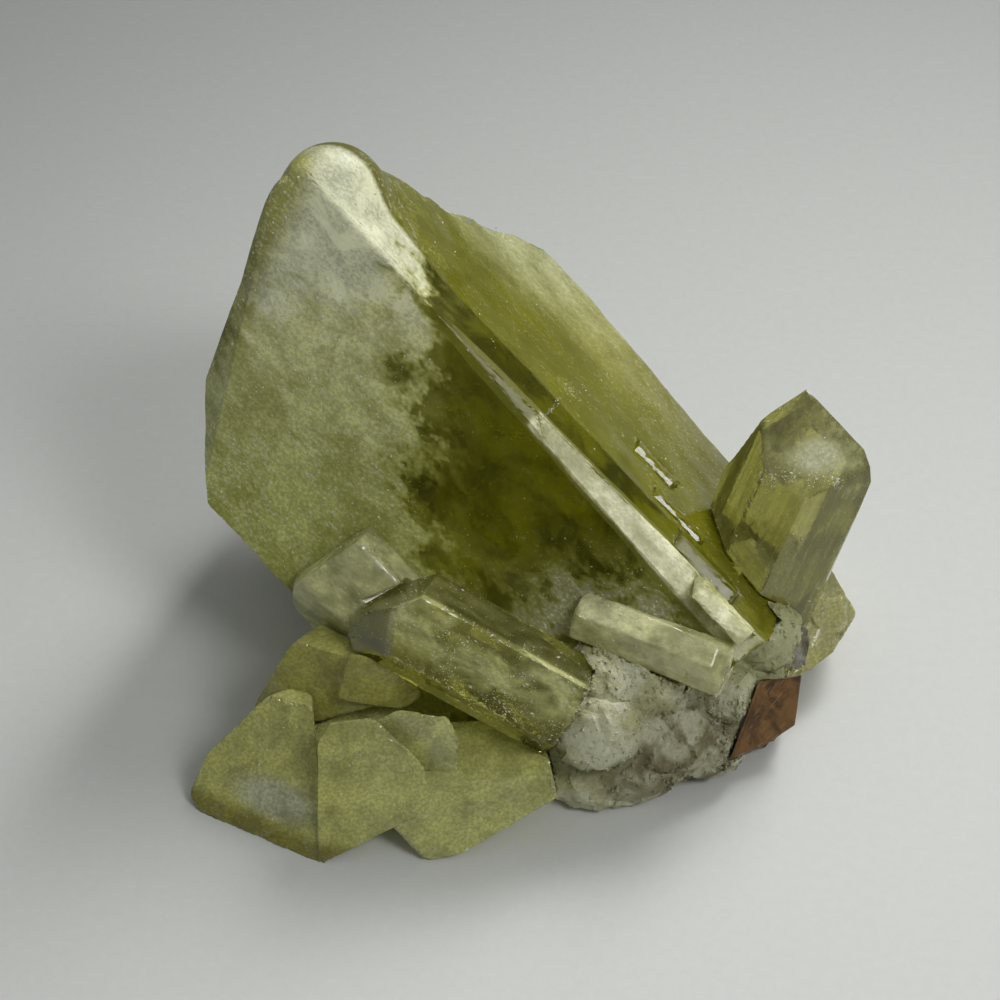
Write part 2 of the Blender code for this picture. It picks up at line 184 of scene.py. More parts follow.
class Finish:
    """One material, built step by step. Each step adds a shader node and returns the
    output that the next one reads."""

    def __init__(self, name):
        self.material = bpy.data.materials.new(name)
        self.material.use_nodes = True
        self.tree = self.material.node_tree
        self.shader = self.tree.nodes["Principled BSDF"]
        self.place = self.step("ShaderNodeTexCoord").outputs["Object"]
        self.known = {}

    def once(self, work):
        """What a function of this material gives, worked out the first time only."""
        if work not in self.known:
            self.known[work] = work(self)
        return self.known[work]

    def step(self, kind, settings={}, **inputs):
        """A shader node of a kind, with its settings and the values or links it reads."""
        made = self.tree.nodes.new(kind)
        for name, value in settings.items():
            setattr(made, name, value)
        for name, value in inputs.items():
            self.feed(made.inputs[name.replace("_", " ")], value)
        return made

    def feed(self, socket, value):
        """Links an output to a socket, or gives the socket a value."""
        if isinstance(value, bpy.types.NodeSocket):
            self.tree.links.new(value, socket)
        elif isinstance(value, tuple) and len(value) == 3 and socket.type == "RGBA":
            socket.default_value = (*value, 1.0)
        else:
            socket.default_value = value

    def math(self, kind, first, second=0.0, third=0.0, clamp=False):
        """A sum, product or other step between numbers."""
        made = self.step("ShaderNodeMath", {"operation": kind, "use_clamp": clamp})
        for socket, value in zip(made.inputs, (first, second, third)):
            self.feed(socket, value)
        return made.outputs[0]

    def vector(self, kind, first, second):
        """The same between vectors or colours."""
        made = self.step("ShaderNodeVectorMath", {"operation": kind})
        self.feed(made.inputs[0], first)
        self.feed(made.inputs[1], second)
        return made.outputs["Value" if kind == "DOT_PRODUCT" else "Vector"]

    def along(self, way, stretch):
        """Object coordinates turned so that a way is local Z, and divided by stretch, which
        is in millimetres."""
        turn = Vector(way).to_track_quat("Z", "Y").inverted().to_euler()
        turned = self.step("ShaderNodeMapping", Vector=self.place, Rotation=turn)
        return self.vector("DIVIDE", turned.outputs[0], [v * MM for v in stretch])

    def reach(self, point, way):
        """How many millimetres past a point the surface is, going that way."""
        shifted = self.vector("SUBTRACT", self.place, [v * MM for v in point])
        return self.vector("DOT_PRODUCT", shifted, [v / MM for v in way])

    def near(self, centre, radii, fade=0.5):
        """1 inside an egg-shaped region, falling to 0 outside it over the fade."""
        shifted = self.vector("SUBTRACT", self.place, [v * MM for v in centre])
        scaled = self.vector("DIVIDE", shifted, [v * MM for v in radii])
        length = self.step("ShaderNodeVectorMath", {"operation": "LENGTH"}, Vector=scaled)
        return self.ramp(length.outputs["Value"], 1.0 - fade, 1.0 + fade, 1.0, 0.0)

    def noise(self, vector, detail=3.0, roughness=0.55, distortion=0.0):
        """Noise between 0 and 1, with one swell to each unit of the vector."""
        made = self.step(
            "ShaderNodeTexNoise", Vector=vector, Scale=1.0, Detail=detail,
            Roughness=roughness, Distortion=distortion,
        )
        return made.outputs[0]

    def ramp(self, value, low, high, to_low=0.0, to_high=1.0):
        """Goes smoothly from one number to another while the value goes from low to high."""
        made = self.step("ShaderNodeMapRange", {"interpolation_type": "SMOOTHSTEP"})
        for number, given in enumerate((value, low, high, to_low, to_high)):
            self.feed(made.inputs[number], given)
        return made.outputs[0]

    def blend(self, share, first, second):
        """A colour between two colours."""
        made = self.step("ShaderNodeMix", {"data_type": "RGBA"})
        self.feed(made.inputs[0], share)
        self.feed(made.inputs[6], first)
        self.feed(made.inputs[7], second)
        return made.outputs[2]

    def bump(self, height, depth, strength):
        """Height between 0 and 1 stands for depth in millimetres."""
        made = self.step("ShaderNodeBump", Height=height, Distance=depth * MM, Strength=strength)
        return made.outputs[0]

    def absorb(self, colour, density):
        """What is left of white light after a stretch of one over the density, in metres."""
        volume = self.step("ShaderNodeVolumeAbsorption", Color=colour, Density=density)
        output = self.tree.nodes["Material Output"]
        self.tree.links.new(volume.outputs[0], output.inputs["Volume"])

    def set(self, **values):
        """Sets or links sockets of the shader, by their names."""
        for name, value in values.items():
            self.feed(self.shader.inputs[name.replace("_", " ")], value)


def dress(piece, material, slot, *nodes):
    """Gives a finished piece its material, and puts it in place of its solid if it has one."""
    piece.data.materials.append(material)
    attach(piece, "root")
    for node in nodes:
        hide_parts(node)


def rock_finish():
    """White and grey sugar with silky streaks, tan low down and in front, pale yellow-green
    where young brazilianite coats it under the upright crystal, and painted shade, nearly
    black, in the gap under the leaning crystal."""
    finish = Finish("sugary_rock")
    grain = finish.noise(finish.along((0, 0, 1), (0.35, 0.35, 0.35)), 2.0, 0.7)
    silk = finish.noise(finish.along((0.75, -0.5, 0.2), (0.35, 0.35, 2.6)), 2.0, 0.6, 0.6)
    broad = finish.noise(finish.along((0, 0, 1), (3.4, 3.4, 3.4)), 3.0, 0.6, 0.5)
    body = finish.blend(finish.ramp(broad, 0.38, 0.60), (0.44, 0.43, 0.22), (0.62, 0.62, 0.43))
    stain = finish.near((14.5, -20.5, 4.0), (9.5, 7.0, 5.5), 0.4)
    stained = finish.math("MULTIPLY", stain, finish.ramp(broad, 0.66, 0.38, 0.3, 1.0))
    coat = finish.near((23.0, -11.5, 10.5), (6.0, 6.0, 5.5), 0.35)
    body = finish.blend(finish.math("MULTIPLY", coat, 0.85), body, (0.42, 0.43, 0.20))
    # Painted shade: the rock goes nearly black in the gap under the leaning crystal.
    dark = finish.near((-3.5, -17.0, 4.0), (7.5, 4.5, 5.0), 0.4)
    body = finish.blend(finish.math("MULTIPLY", dark, 0.8), body, (0.09, 0.08, 0.015))
    body = finish.blend(finish.ramp(silk, 0.56, 0.70, 0.0, 0.65), body, (0.58, 0.58, 0.46))
    body = finish.blend(stained, body, (0.15, 0.13, 0.055))
    body = finish.blend(finish.ramp(grain, 0.47, 0.30, 0.0, 0.55), body, (0.27, 0.25, 0.14))
    finish.set(
        Base_Color=body,
        Roughness=finish.ramp(silk, 0.35, 0.65, 0.62, 0.30),
        Normal=finish.bump(finish.math("ADD", grain, silk), 0.12, 0.8),
        Specular_IOR_Level=0.6,
    )
    return finish.material


ROCK_EDGE = 0.42                            # millimetres, the longest edge of its triangles
rock_points, rock_corners = halve_edges(*solid_triangles("matrix"), ROCK_EDGE)
rock_normals = point_normals(rock_points, rock_corners)[0]
# Each line: how high, in millimetres, times a relief of some pitch with its own seed.
rock_relief = (
    0.24 * blocky(rock_points, 3.2, 47)
    + 0.10 * blocky(rock_points, 1.3, 48)
    + 0.25 * swell(rock_points, 5.0, 49)
    - 0.22 * np.abs(swell(rock_points * (0.6, 0.6, 1.6), 2.0, 50))
)
rock_foot = rock_points[:, 2] < FOOT_HEIGHT
rock_points = rock_points + rock_normals * rock_relief[:, None]
rock_points[rock_foot, 2] = 0.0
rock_points[:, 2] = np.maximum(rock_points[:, 2], 0.0)
sugary_rock = rock_finish()
rough_matrix = put_in("rough_matrix", rock_points, rock_corners, 35.0)
dress(rough_matrix, sugary_rock, "matrix", "matrix")


def turned_ways(dice, count, along=None, stray=1.0):
    """Three directions square to each other for each of count pieces. The first strays from
    the along direction by about the stray."""
    first = dice.normal(size=(count, 3))
    if along is not None:
        first = np.asarray(along) + stray * first
    first /= np.linalg.norm(first, axis=1)[:, None]
    second = np.cross(first, dice.normal(size=(count, 3)))
    second /= np.linalg.norm(second, axis=1)[:, None]
    return np.stack([first, second, np.cross(first, second)], axis=1)


def sugar_grains(name, places, ways, sizes):
    """Tiny blocks with twelve triangles: eight corners at plus and minus half the size along
    each of the block's three directions, the upper four drawn in to three quarters."""
    signs = np.array(list(np.ndindex(2, 2, 2))) * 2.0 - 1.0
    signs[signs[:, 2] > 0.0, :2] *= 0.75
    points = places[:, None, :] + np.einsum("ck,nk,nkd->ncd", signs, sizes, ways)
    quads = np.array([
        (0, 1, 3, 2), (4, 6, 7, 5), (0, 4, 5, 1), (2, 3, 7, 6), (0, 2, 6, 4), (1, 5, 7, 3),
    ])
    corners = (quads[None] + 8 * np.arange(len(places))[:, None, None]).reshape(-1, 4)
    return put_in(name, points.reshape(-1, 3), corners, 0.0)


# Grains lie in swarms over the rock, on about one point in twelve, and none near its foot.
POINTS_TO_A_GRAIN = 12.0
GRAIN_LEAST, GRAIN_MOST = 0.06, 0.19        # millimetres, half a grain's width
grain_dice = np.random.default_rng(43)
grain_share = np.clip((rock_points[:, 2] - 0.8) / 2.0, 0.0, 1.0)
grain_share = grain_share * (swell(rock_points, 3.0, 44) + 0.7)
grain_chance = grain_dice.random(len(rock_points)) * POINTS_TO_A_GRAIN
sugared = np.flatnonzero(grain_share > grain_chance)
grain_sizes = grain_dice.uniform(GRAIN_LEAST, GRAIN_MOST, (len(sugared), 1))
grain_sizes = grain_sizes * grain_dice.uniform(
    (0.7, 0.7, 0.9), (1.0, 1.0, 1.6), (len(sugared), 3)
)
rock_sugar = sugar_grains(
    "rock_sugar", rock_points[sugared], turned_ways(grain_dice, len(sugared)), grain_sizes
)
dress(rock_sugar, sugary_rock, "matrix")

# The large crystal. A stout prism of brazilianite that leans back from the matrix: clear
# olive inside its lower right, clouded by veils to the left, frosted on its broken tip.
# It has grown out of the matrix, which holds its root.

LARGE_CENTRE = (-9.0, 11.525, 22.0)         # millimetres, on the crystal's long axis
LARGE_HEADING = 145.0                       # degrees from the X axis
LARGE_RISE = 33.0                           # degrees
BRAZILIANITE_IOR = 1.61
MOST_SOLID = 0.88                           # how opaque the thickest cloud is
WISP_TONE = (0.66, 0.67, 0.46)
# The pale tone of the painted glints, and of worn edges, which are partly wear and partly a
# painted highlight.
PAINTED_GLINT_TONE = (0.80, 0.81, 0.60)


def face_way(heading, rise, turn, lean=0.0):
    """The outward direction of a face. Turn goes round the long axis from its upper side,
    and lean tips the face towards the point of the crystal, both in degrees."""
    heading, rise, turn, lean = np.radians((heading, rise, turn, lean))
    level = np.array((np.cos(heading), np.sin(heading), 0.0))
    along = level * np.cos(rise) + np.array((0.0, 0.0, np.sin(rise)))
    upper = np.array((0.0, 0.0, 1.0)) - along * along[2]
    upper /= np.linalg.norm(upper)
    around = upper * np.cos(turn) + np.cross(along, upper) * np.sin(turn)
    return around * np.cos(lean) + along * np.sin(lean)


def soften(points, corners, rounds, share):
    """Moves each point the share of the way to the mean of its neighbours, some rounds."""
    sides = corners[:, [[0, 1], [1, 2], [2, 0]]].reshape(-1, 2)
    both = np.vstack([sides, sides[:, ::-1]])
    both = both[share[both[:, 0]] > 0.0]
    count = np.maximum(np.bincount(both[:, 0], minlength=len(points)), 1)[:, None]
    moves = (share > 0.0)[:, None]
    for number in range(rounds):
        total = np.stack([
            np.bincount(both[:, 0], points[both[:, 1], axis], len(points)) for axis in range(3)
        ], axis=1)
        points = np.where(moves, points + 0.6 * share[:, None] * (total / count - points), points)
    return points


large_way = face_way(LARGE_HEADING, LARGE_RISE, 0.0, 90.0)


def worn_copy(node, name, longest, wave, wear, seed, rounds=0, share=None, swollen=0.0,
              steps=None):
    """A finer copy of a solid. The edges are first softened over some rounds, by a share
    for each place, once coarse and once fine, and the softened part swells again by some
    millimetres. Then each point moves along its normal by a slow swell of wave
    millimetres and by the steps given for its place, and the edges wear inwards by up to
    wear millimetres where a quicker noise is high. The wear is kept with each point."""
    points, corners = solid_triangles(node)
    for length in (3.0 * longest, longest):
        points, corners = halve_edges(points, corners, length)
        level = points[:, 2] < FOOT_HEIGHT
        part = np.ones(len(points)) if share is None else share(points)
        if rounds:
            points = soften(points, corners, rounds, part)
            points[level, 2] = 0.0
    normals, flat = point_normals(points, corners)
    points = points + normals * (swollen * part)[:, None]
    relief = wave * (swell(points, 7.0, seed) + 0.4 * swell(points, 2.1, seed + 1))
    chip = np.clip(swell(points, 2.4, seed + 2) + 0.35, 0.0, 1.0)
    edge = np.clip((0.985 - flat) / 0.05, 0.0, 1.0)
    if steps is not None:
        relief = relief + steps(points)
    points = points + normals * (relief * flat - wear * chip * edge)[:, None]
    points[level, 2] = 0.0
    points[:, 2] = np.maximum(points[:, 2], 0.0)
    made = put_in(name, points, corners)
    made.data.attributes.new("wear", "FLOAT", "POINT").data.foreach_set("value", edge * chip)
    return made


def crystal_finish(name, way, haze, pale, clear, colour, density, gloss=0.07, glitter=1.0,
                   calm=0.0, wisps=0.5):
    """Glassy brazilianite. haze gives how cloudy each place is, from 0 to 1, and pale the
    colour of the cloud there. Clouds and fine grains vary it, except where it is calm, and
    pale wisps run through it. Bright specks in swarms are painted glints in its colour, and
    worn edges are pale, partly from wear and partly a painted edge highlight."""
    finish = Finish(name)
    fine = finish.noise(finish.along(way, (0.30, 0.30, 0.42)), 1.0, 0.7)
    soft = finish.noise(finish.along(way, (3.6, 3.6, 5.4)), 3.0, 0.68, 0.4)
    bent = finish.math("SUBTRACT", soft, 0.5)
    stillness = finish.once(calm) if callable(calm) else calm
    soft = finish.math("SUBTRACT", soft, finish.math("MULTIPLY", stillness, bent))
    share = finish.once(haze)
    thin = finish.math("MULTIPLY", finish.math("MULTIPLY", share, share),
                       finish.math("SUBTRACT", 1.0, share))
    grains = finish.math("MULTIPLY", thin, finish.ramp(soft, 0.36, 0.64, -1.5, 1.5))
    clouded = finish.math("ADD", share, grains, clamp=True)
    # Painted glints: bright specks of a pale tone put into the colour in swarms.
    swarm = finish.math("MULTIPLY", share, finish.ramp(soft, 0.42, 0.60, 0.2 * glitter, glitter))
    painted_glint_and_wear = finish.math("MULTIPLY", swarm, finish.ramp(fine, 0.64, 0.68), clamp=True)
    cloud = finish.once(pale) if callable(pale) else pale
    cloud = finish.vector("MULTIPLY", cloud, finish.ramp(soft, 0.34, 0.66, 0.80, 1.26))
    cloud = finish.vector("MULTIPLY", cloud, finish.ramp(fine, 0.32, 0.68, 0.84, 1.18))
    wisp = finish.ramp(finish.math("ABSOLUTE", bent), 0.004, 0.028, wisps, 0.0)
    grained = finish.math("MULTIPLY", share, finish.ramp(fine, 0.35, 0.65))
    cloud = finish.blend(finish.math("MULTIPLY", wisp, grained), cloud, WISP_TONE)
    body = finish.blend(clouded, clear, cloud)
    # Worn edges turn the same pale tone: partly wear, partly a painted edge highlight.
    worn = finish.step("ShaderNodeAttribute", {"attribute_name": "wear"}).outputs["Fac"]
    worn = finish.math("MULTIPLY", worn, finish.ramp(fine, 0.46, 0.60, 0.02, 0.7))
    worn = finish.math("MULTIPLY", worn, finish.math("SUBTRACT", 1.0, stillness))
    painted_glint_and_wear = finish.math("MAXIMUM", painted_glint_and_wear, worn)
    rough = finish.once(gloss) if callable(gloss) else gloss
    solid = finish.math("MAXIMUM", finish.ramp(clouded, 0.0, 1.0, 0.0, MOST_SOLID), painted_glint_and_wear)
    finish.set(
        Base_Color=finish.blend(painted_glint_and_wear, body, PAINTED_GLINT_TONE),
        Transmission_Weight=finish.math("SUBTRACT", 1.0, solid),
        Roughness=finish.ramp(clouded, 0.0, 0.5, 0.03, rough),
        IOR=BRAZILIANITE_IOR,
        Normal=finish.bump(fine, 0.05, finish.math("MULTIPLY", clouded, 0.5)),
    )
    finish.absorb(colour, density)
    return finish.material


def growth_steps(depth, pitch, seed):
    """Low facets with steps between them, as crystal faces grow, depth millimetres high."""
    return lambda points: depth * blocky(points, pitch, seed)


# A point on the edge between the two right faces, and the way over the far one from there.
RIGHT_EDGE = tuple(
    np.array(LARGE_CENTRE) + 16.25 * face_way(LARGE_HEADING, LARGE_RISE, 0.0)
    - 3.09 * face_way(LARGE_HEADING, LARGE_RISE, 90.0)
)
OVER_RIGHT = face_way(LARGE_HEADING, LARGE_RISE, 28.0 + 90.0)


def strip_share(finish):
    """1 on the narrow strip that is broken off the front edge, from its upper end down."""
    narrow = face_way(LARGE_HEADING, LARGE_RISE, -20.0, -1.12)
    strip = finish.ramp(finish.reach(LARGE_CENTRE, narrow), 18.15, 18.32)
    upper_end = finish.reach(LARGE_CENTRE, large_way)
    return finish.math("MULTIPLY", strip, finish.ramp(upper_end, -7.6, -8.4))


def tip_share(finish):
    """1 on the frosted knob at the tip, fading with a ragged border."""
    rag = finish.once(large_rag)
    height = finish.reach((0, 0, 42.5), (-0.25, -0.15, 0.95))
    height = finish.math("ADD", height, finish.ramp(rag, 0.3, 0.7, -2.0, 2.0))
    return finish.ramp(height, -1.5, 2.5)


def low_cloud(finish):
    """The granular cloud above the sunken crystal, thicker lower down."""
    return finish.near((7.5, -14.0, 12.0), (12.0, 10.0, 9.5), 0.45)


def large_rag(finish):
    """The ragged noise that frays every border between clear and cloudy."""
    return finish.noise(finish.along(large_way, (3.0, 3.0, 4.0)), 3.0, 0.70)


def narrow_share(finish):
    """1 on the narrow front face and on the slivers beside it, up to the knob."""
    narrow = finish.reach(LARGE_CENTRE, face_way(LARGE_HEADING, LARGE_RISE, -20.0, -1.6))
    height = finish.reach((0, 0, 0), (0, 0, 1))
    below = finish.ramp(height, 37.0, 42.0, 1.0, 0.0)
    return finish.math("MULTIPLY", finish.ramp(narrow, 18.0, 18.25), below)


def far_rim(finish):
    """1 at the pale upper end of the far right face."""
    return finish.near((-1.0, 26.5, 31.0), (15.0, 9.0, 9.0), 0.7)


def calm_right(finish):
    """Little change over the far right face, and on the narrow face above the strip."""
    whole = finish.math("SUBTRACT", 1.0, finish.once(strip_share))
    whole = finish.math("MULTIPLY", whole, finish.once(narrow_share))
    right = finish.ramp(finish.reach(RIGHT_EDGE, OVER_RIGHT), -0.4, 0.6, 0.0, 0.75)
    return finish.math("MAXIMUM", right, finish.math("MULTIPLY", whole, 0.9))


def left_band(finish):
    """How many millimetres in from the left edge of the front face."""
    return finish.reach((-25.8, 0.0, 45.5), (0.875, 0.0, -0.484))


def large_haze(finish):
    """Clear behind the right half of the front face and under the narrow right face. Cloudy
    left of a ragged border that runs down the front face, and in a cloud above the sunken
    crystal; clearer again in a band along the left edge. Milky over the far right face."""
    rag = finish.once(large_rag)
    height = finish.reach((0, 0, 0), (0, 0, 1))
    border = finish.reach((-10.0, 0, 0), (-1, 0, 0))
    border = finish.math("ADD", border, finish.ramp(height, 22.0, 12.0, 0.0, 4.0))
    border = finish.math("ADD", border, finish.ramp(rag, 0.3, 0.7, -3.0, 3.0))
    left = finish.ramp(border, -4.0, 4.0, 0.0, 0.93)
    band = finish.once(left_band)
    left = finish.math("MULTIPLY", left, finish.ramp(band, 1.5, 4.5, 0.5, 1.0))
    top = finish.once(tip_share)
    grainy = finish.ramp(rag, 0.36, 0.60, 0.30, 1.05)
    cloud = finish.math("MULTIPLY", finish.once(low_cloud), grainy)
    strip = finish.math("MULTIPLY", finish.once(strip_share), 0.8)
    over = finish.reach(RIGHT_EDGE, OVER_RIGHT)
    right = finish.ramp(over, -0.4, 0.6, 0.0, 0.5)
    right = finish.math("MULTIPLY", right, finish.ramp(over, 8.0, 22.0, 1.0, 1.4))
    right = finish.math("MAXIMUM", right, finish.math("MULTIPLY", finish.once(far_rim), 0.7))
    right = finish.math("MAXIMUM", right, finish.math("MULTIPLY", finish.once(narrow_share), 0.45))
    smudge = finish.near((4.0, 2.2, 29.6), (4.5, 3.5, 3.5), 0.4)
    smudge = finish.math("MULTIPLY", smudge, finish.ramp(rag, 0.40, 0.60, 0.2, 0.7))
    right = finish.math("MAXIMUM", right, smudge)
    veil = finish.near((-11.9, 4.7, 40.5), (3.2, 5.0, 3.4), 0.4)
    left = finish.math("ADD", left, finish.math("MULTIPLY", veil, 0.1), clamp=True)
    share = finish.math("MAXIMUM", finish.math("MAXIMUM", left, top), cloud)
    share = finish.math("MAXIMUM", finish.math("MAXIMUM", share, strip), right)
    return finish.math("MAXIMUM", share, finish.ramp(height, 28.0, 15.0, 0.28, 0.44))


def large_tone(finish):
    """Cream on the tip, and cream on the strip, which is partly its frosted break and partly a
    painted highlight; grey-green down the left, deep olive where the cloud is thin, golden to
    pale over the far right face."""
    height = finish.reach((0, 0, 0), (0, 0, 1))
    left = finish.blend(finish.ramp(height, 18.0, 44.0), (0.50, 0.53, 0.17), (0.78, 0.79, 0.40))
    left = finish.blend(finish.once(tip_share), left, (0.92, 0.93, 0.62))
    pits = finish.ramp(finish.once(large_rag), 0.43, 0.40)
    pitted = finish.near((-15.0, 10.0, 46.0), (2.6, 3.0, 1.8), 0.3)
    left = finish.blend(finish.math("MULTIPLY", pits, pitted), left, (0.10, 0.10, 0.03))
    left = finish.blend(finish.ramp(finish.once(left_band), 1.5, 4.5), (0.42, 0.42, 0.12), left)
    clear = finish.ramp(finish.reach((-8.0, 0, 0), (1, 0, 0)), -2.0, 4.0)
    tone = finish.blend(clear, left, (0.125, 0.12, 0.0005))
    tone = finish.blend(finish.once(low_cloud), tone, (0.40, 0.40, 0.22))
    over = finish.reach(RIGHT_EDGE, OVER_RIGHT)
    golden = finish.blend(finish.ramp(over, 8.0, 23.0), (0.18, 0.175, 0.01), (0.66, 0.63, 0.26))
    golden = finish.blend(finish.ramp(height, 26.0, 15.0), golden, (0.07, 0.052, 0.001))
    golden = finish.blend(finish.once(far_rim), golden, (0.72, 0.73, 0.46))
    tone = finish.blend(finish.ramp(over, -0.4, 0.6), tone, golden)
    tone = finish.blend(finish.once(narrow_share), tone, (0.20, 0.20, 0.04))
    # Painted highlight: the strip is painted cream, standing partly for its frosted break and
    # partly for the light it catches.
    strip = finish.once(strip_share)
    cracks = finish.once(large_rag)
    strip_cream_and_painted_highlight = finish.blend(finish.ramp(cracks, 0.35, 0.65), (0.66, 0.65, 0.38), (0.88, 0.87, 0.56))
    return finish.blend(strip, tone, strip_cream_and_painted_highlight)


def large_gloss(finish):
    """Frosted on the tip, half frosted on the strip, polished elsewhere."""
    rough = finish.ramp(finish.once(tip_share), 0.0, 1.0, 0.09, 0.45)
    return finish.math("MAXIMUM", rough, finish.math("MULTIPLY", finish.once(narrow_share), 0.4))


def knob_share(points):
    """Full softening at the knob on the tip, none farther down."""
    far = np.linalg.norm(points - np.array((-18.0, 13.5, 44.5)), axis=1)
    return np.clip((12.5 - far) / 6.0, 0.0, 1.0)


large_crystal = worn_copy(
    "main_crystal", "large_crystal", 0.62, 0.08, 0.22, 3, 6, knob_share, 0.6
)
dress(
    large_crystal,
    crystal_finish(
        "cloudy_brazilianite", large_way, large_haze,
        pale=large_tone, clear=(0.60, 0.60, 0.012), colour=(0.70, 0.69, 0.10), density=80.0,
        gloss=large_gloss, calm=calm_right,
    ),
    "clear_crystal", "main_crystal",
)

# The flakes in the large crystal. Healed cracks and tiny bubbles inside the crystal, which
# catch the light as sparks: thick to the left and above the sunken crystal, sparse in the
# clear part, and strung along the edge of a veil.

SPARK_DEPTH = 0.012                         # millimetres below the skin
SPARKLESS_FOOT = 0.3                        # millimetres up from the flat cut
SPARK_LEAST = (0.03, 0.025, 0.015)          # millimetres: half its length, width and thickness
SPARK_MOST = (0.13, 0.07, 0.03)


def blades(name, places, ways, sizes):
    """Tiny closed blades with eight faces: from each place, three half axes square to each
    other, along, across and through, with the six tips joined by eight triangles."""
    tips = ways * sizes[:, :, None]
    points = (places[:, None, None, :] + np.stack([tips, -tips], axis=2)).reshape(-1, 3)
    sides = np.array([
        (0, 2, 4), (2, 1, 4), (1, 3, 4), (3, 0, 4), (2, 0, 5), (1, 2, 5), (3, 1, 5), (0, 3, 5),
    ])
    corners = (sides[None] + 6 * np.arange(len(places))[:, None, None]).reshape(-1, 3)
    return put_in(name, points, corners, 0.0)


def strewn(node, dice, count, least, most, keep):
    """Chance places inside a solid: points on its surface, chosen by area and moved in
    against the face by least to most millimetres, kept where keep is above a chance and
    where no other face is nearer than that."""
    points, corners = solid_triangles(node)
    a, b, c = points[corners].transpose(1, 0, 2)
    area = np.cross(b - a, c - a)
    size = np.linalg.norm(area, axis=1)
    pick = dice.choice(len(corners), count, p=size / size.sum())
    u, v = np.sort(dice.random((2, count)), axis=0)
    place = a[pick] * u[:, None] + b[pick] * (v - u)[:, None] + c[pick] * (1.0 - v)[:, None]
    place -= (area / size[:, None])[pick] * dice.uniform(least, most, count)[:, None]
    place = place[(keep(place) > dice.random(count)) & (place[:, 2] > SPARKLESS_FOOT)]
    skin = BVHTree.FromPolygons(points.tolist(), corners.tolist())
    inside = []
    for spot in place:
        found, normal, number, distance = skin.find_nearest(Vector(spot))
        inside.append(distance > 0.8 * least and (Vector(spot) - found).dot(normal) < 0.0)
    return place[np.array(inside)]


def strewn_on(piece, dice, count, keep):
    """Chance places on a finished piece, just below its skin, and none at its very foot."""
    mesh = piece.data
    points = np.empty(len(mesh.vertices) * 3)
    mesh.vertices.foreach_get("co", points)
    points = points.reshape(-1, 3) / MM
    corners = np.empty(len(mesh.polygons) * 3, int)
    mesh.loops.foreach_get("vertex_index", corners)
    a, b, c = points[corners.reshape(-1, 3)].transpose(1, 0, 2)
    area = np.cross(b - a, c - a)
    size = np.linalg.norm(area, axis=1)
    pick = dice.choice(len(size), count, p=size / size.sum())
    place = (a + b + c)[pick] / 3.0 - (area / size[:, None])[pick] * SPARK_DEPTH
    return place[(keep(place) > dice.random(count)) & (place[:, 2] > SPARKLESS_FOOT)]


def sparks_at(name, places, dice, way, stray):
    """Sparks of chance sizes, a few up to two and a half times the rest, roughly along a
    way."""
    sizes = dice.uniform(SPARK_LEAST, SPARK_MOST, (len(places), 3))
    sizes *= 1.0 + 1.6 * dice.random((len(places), 1)) ** 6
    sparks = blades(name, places, turned_ways(dice, len(places), way, stray), sizes)
    dress(sparks, spark, "clear_crystal")


def sparkle(name, piece, seed, count, keep, way):
    """Sparks on a finished piece, thickest where keep is high, along its growth direction."""
    dice = np.random.default_rng(seed)
    sparks_at(name, strewn_on(piece, dice, count, keep), dice, way, 0.6)


def spark_finish(name, colour):
    """Bright, half glossy specks, a little uneven in tone."""
    finish = Finish(name)
    dim = tuple(0.7 * v for v in colour)
    tone = finish.noise(finish.along((0, 0, 1), (0.6, 0.6, 0.6)), 2.0)
    finish.set(
        Base_Color=finish.blend(finish.ramp(tone, 0.35, 0.65), dim, colour),
        Roughness=0.30,
        Specular_IOR_Level=1.0,
    )
    return finish.material


def large_thick(place):
    """How thickly the flakes lie, from 0 to 1."""
    x, y, z = place.T
    left = np.clip((-9.5 - x) / 4.0, 0.0, 1.0) * np.clip((z - 12.0) / 10.0, 0.25, 1.0)
    cloud = np.clip(1.3 - np.hypot((x - 8.0) / 8.0, (z - 16.5) / 6.0), 0.0, 1.0)
    return np.maximum(np.maximum(left, cloud) * (y < 12.0), 0.05)


dice = np.random.default_rng(71)
spark_places = strewn("main_crystal", dice, 9000, 0.03, 1.6, large_thick)
# Each veil's edge, in millimetres from point to point, its number of sparks and their spread.
VEIL_LINES = [
    ([(-8.7, -1.2, 31.4), (-4.9, -2.5, 30.9), (-2.1, -3.8, 29.7), (-0.2, -3.8, 30.6),
      (1.3, -3.4, 32.2), (2.6, -2.8, 33.6)], 170, 0.12),
    ([(-13.7, 6.1, 42.5), (-11.9, 4.3, 40.3)], 40, 0.10),
    ([(3.2, 2.2, 30.0), (4.7, 2.6, 29.0)], 60, 0.60),
    ([(-0.9, 25.9, 29.4), (1.6, 24.7, 27.2), (3.6, 19.9, 26.1), (6.1, 15.5, 24.6)], 150, 0.08),
    ([(-3.5, 25.5, 31.4), (-0.5, 22.0, 29.6), (1.5, 16.0, 28.6)], 90, 0.07),
]
veil_places = []
for corners_of_line, count, spread in VEIL_LINES:
    corners_of_line = np.array(corners_of_line)
    step = np.linspace(0.0, len(corners_of_line) - 1.0, count)
    line = np.stack([np.interp(step, np.arange(len(corners_of_line)), corners_of_line[:, axis])
                     for axis in range(3)], axis=1)
    veil_places.append(line + dice.normal(size=line.shape) * spread)
skin_places = strewn_on(large_crystal, dice, 16000, large_thick)
spark = spark_finish("healed_cracks", (1.0, 1.0, 0.84))
sparks_at(
    "large_sparks", np.vstack([spark_places, skin_places, *veil_places]), dice, large_way, 0.7
)

# The upright crystal at the right. A short clear prism with a blunt point, its left side
# striped by growth lines, with a bubble-like crack high inside its front. It grew next to
# the large crystal, from the same rock.


